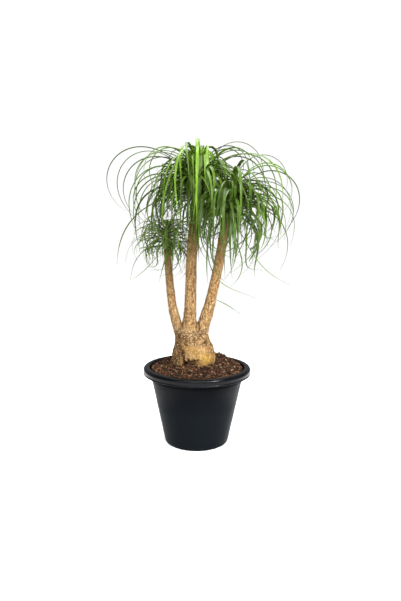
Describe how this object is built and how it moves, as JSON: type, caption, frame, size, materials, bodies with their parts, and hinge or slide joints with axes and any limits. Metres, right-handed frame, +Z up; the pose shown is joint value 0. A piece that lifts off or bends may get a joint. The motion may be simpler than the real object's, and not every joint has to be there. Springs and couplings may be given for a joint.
{
  "type": "potted ponytail palm",
  "caption": "House plant with a swollen woody base, bare stems and heads of long arching strap leaves, standing in soil in a round tapered pot with a rolled rim.",
  "frame": {"origin": "middle of the pot's underside, on the surface that it stands on", "axes": "+Z up, along the pot's axis; +X to the right as seen from the front, -Y towards the viewer in front; the smallest head of leaves is at -X"},
  "size_m": [0.5861, 0.472, 0.948],
  "materials": {
    "pot_plastic": "black moulded polypropylene, satin, slightly blue-grey",
    "potting_soil": "loose bark-chip potting mix, matte, dark brown with lighter chips",
    "bark": "corky tan bark, matte, ringed with fine leaf scars on the stems and cracked and pitted on the base",
    "leaf": "strap leaf, semi-gloss, bright to dark green with fine lengthwise veins",
    "leaf_fine": "narrow strap leaf, semi-gloss, dark green with fine lengthwise veins"
  },
  "bodies": {
    "root": {"pot": "pot_plastic", "soil": "potting_soil", "trunk": "bark", "crown_middle": "leaf", "crown_right": "leaf", "crown_left": "leaf_fine"}
  },
  "joints": []
}
